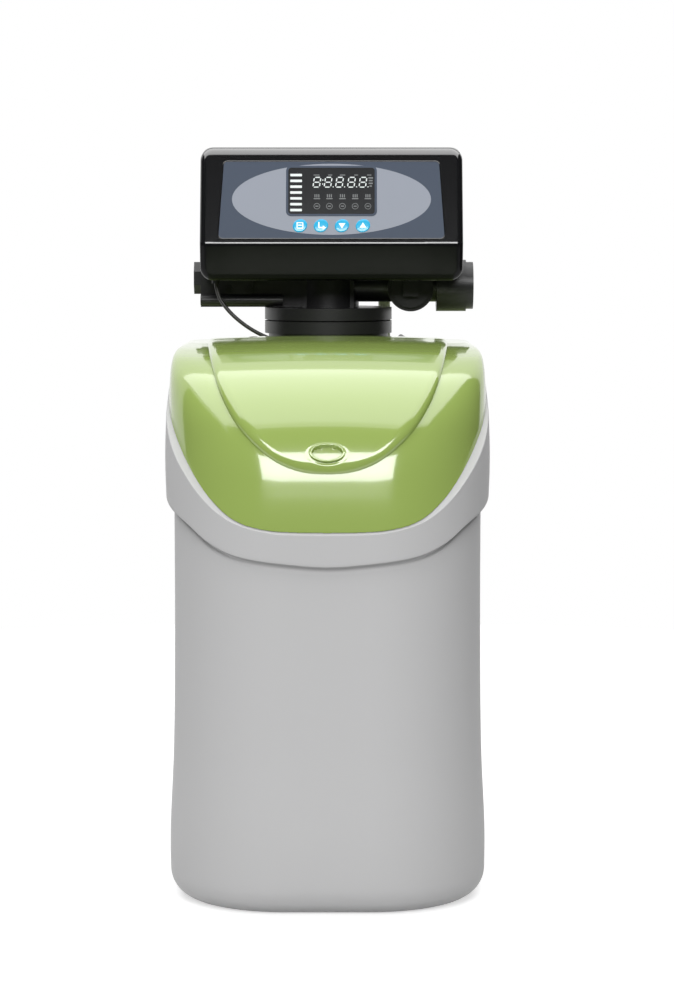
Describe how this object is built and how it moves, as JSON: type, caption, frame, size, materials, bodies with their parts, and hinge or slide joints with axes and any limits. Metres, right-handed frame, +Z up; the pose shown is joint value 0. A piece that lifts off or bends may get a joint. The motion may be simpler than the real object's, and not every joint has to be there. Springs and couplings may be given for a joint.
{
  "type": "water softener",
  "caption": "Compact cabinet water softener: grey tub with a flared belt, green hood and hinged salt lid, resin tank and a motor-driven control valve with a keypad display.",
  "frame": {"origin": "centre of the tub's base, on the floor", "axes": "+Z up, front faces -Y, +X to the viewer's right"},
  "size_m": [0.2346, 0.4954, 0.5465],
  "materials": {
    "tub_grey": "satin moulded plastic",
    "hood_green": "glossy moulded plastic",
    "valve_black": "black satin plastic",
    "cover_black": "glossy black plastic",
    "panel_slate": "printed film",
    "window_smoke": "smoked clear plastic",
    "key_blue": "translucent plastic",
    "tank_shell": "wound composite shell",
    "resin_amber": "beads",
    "pipe_white": "extruded plastic",
    "steel": "zinc plated",
    "ceramic": "ground ceramic",
    "seal_rubber": "soft rubber",
    "gear_nylon": "nylon",
    "board_green": "circuit board",
    "lead_grey": "flexible sheath"
  },
  "bodies": {
    "cabinet": {"cabinet_tub": "tub_grey", "top_hood": "hood_green", "hinge_pins": "steel", "resin_tank": "tank_shell", "tank_foot": "valve_black", "resin_bed": "resin_amber", "riser_tube": "pipe_white", "lower_strainer": "pipe_white", "upper_strainer": "pipe_white", "neck_ring": "valve_black", "neck_seal": "seal_rubber", "valve_body": "valve_black", "inlet_nut": "valve_black", "outlet_coupling": "valve_black", "meter_axle": "steel", "meter_cover": "valve_black", "meter_sensor": "valve_black", "injector_nozzle": "gear_nylon", "injector_cover": "valve_black", "injector_screws": "steel", "brine_elbow": "pipe_white", "drain_spigot": "valve_black", "disc_seal": "seal_rubber", "fixed_disc": "ceramic", "valve_cover": "valve_black", "cover_screws": "steel", "drive_bracket": "steel", "drive_motor": "steel", "front_cover": "cover_black", "back_cover": "cover_black", "case_screws": "steel", "display_panel": "panel_slate", "display_window": "window_smoke", "led_module": "valve_black", "display_board": "board_green", "cable_gland": "valve_black", "power_lead": "lead_grey", "lead_coil": "lead_grey", "lead_tail": "lead_grey", "power_adapter": "valve_black", "adapter_pins": "steel", "brine_well": "pipe_white", "well_cap": "pipe_white", "float_rod": "pipe_white", "salt_grid": "pipe_white", "brine_tube": "pipe_white", "overflow_elbow": "valve_black", "overflow_nut": "valve_black"},
    "lid": {"salt_lid": "hood_green"},
    "lid_press": {"lid_button": "hood_green"},
    "float": {"brine_float": "pipe_white"},
    "disc_drive": {"moving_disc": "ceramic", "valve_spindle": "gear_nylon", "drive_gear": "gear_nylon"},
    "pinion": {"motor_pinion": "gear_nylon"},
    "rotor": {"meter_rotor": "gear_nylon"},
    "menu_key": {"key_menu": "key_blue"},
    "manual_key": {"key_manual": "key_blue"},
    "down_key": {"key_down": "key_blue"},
    "up_key": {"key_up": "key_blue"}
  },
  "joints": [
    {"name": "lid_hinge", "type": "hinge", "parent": "cabinet", "child": "lid", "pos_m": [0, -0.016, 0.396], "axis": [-1, 0, 0], "range_deg": [0, 95]},
    {"name": "lid_button_press", "type": "slide", "parent": "lid", "child": "lid_press", "axis": [0, 0.9063, -0.4226], "range_m": [0, 0.0015], "stiffness_N_per_m": 400, "springref_m": -0.0004},
    {"name": "float_rise", "type": "slide", "parent": "cabinet", "child": "float", "axis": [0, 0, 1], "range_m": [0, 0.08]},
    {"name": "disc_turn", "type": "hinge", "parent": "cabinet", "child": "disc_drive", "pos_m": [0.0026, 0.08, 0.495], "axis": [0, 1, 0], "continuous": true},
    {"name": "pinion_turn", "type": "hinge", "parent": "cabinet", "child": "pinion", "pos_m": [0.0568, 0.0635, 0.495], "axis": [0, 1, 0], "continuous": true},
    {"name": "rotor_turn", "type": "hinge", "parent": "cabinet", "child": "rotor", "pos_m": [0.0645, 0.092, 0.437], "axis": [0, 1, 0], "continuous": true},
    {"name": "menu_key_press", "type": "slide", "parent": "cabinet", "child": "menu_key", "axis": [0, 0.9472, -0.3206], "range_m": [0, 0.0008], "stiffness_N_per_m": 400, "springref_m": -0.0005},
    {"name": "manual_key_press", "type": "slide", "parent": "cabinet", "child": "manual_key", "axis": [0, 0.9472, -0.3206], "range_m": [0, 0.0008], "stiffness_N_per_m": 400, "springref_m": -0.0005},
    {"name": "down_key_press", "type": "slide", "parent": "cabinet", "child": "down_key", "axis": [0, 0.9472, -0.3206], "range_m": [0, 0.0008], "stiffness_N_per_m": 400, "springref_m": -0.0005},
    {"name": "up_key_press", "type": "slide", "parent": "cabinet", "child": "up_key", "axis": [0, 0.9472, -0.3206], "range_m": [0, 0.0008], "stiffness_N_per_m": 400, "springref_m": -0.0005}
  ],
  "couplings": [
    {"joint": "pinion_turn", "follows": "disc_turn", "ratio": -5}
  ]
}
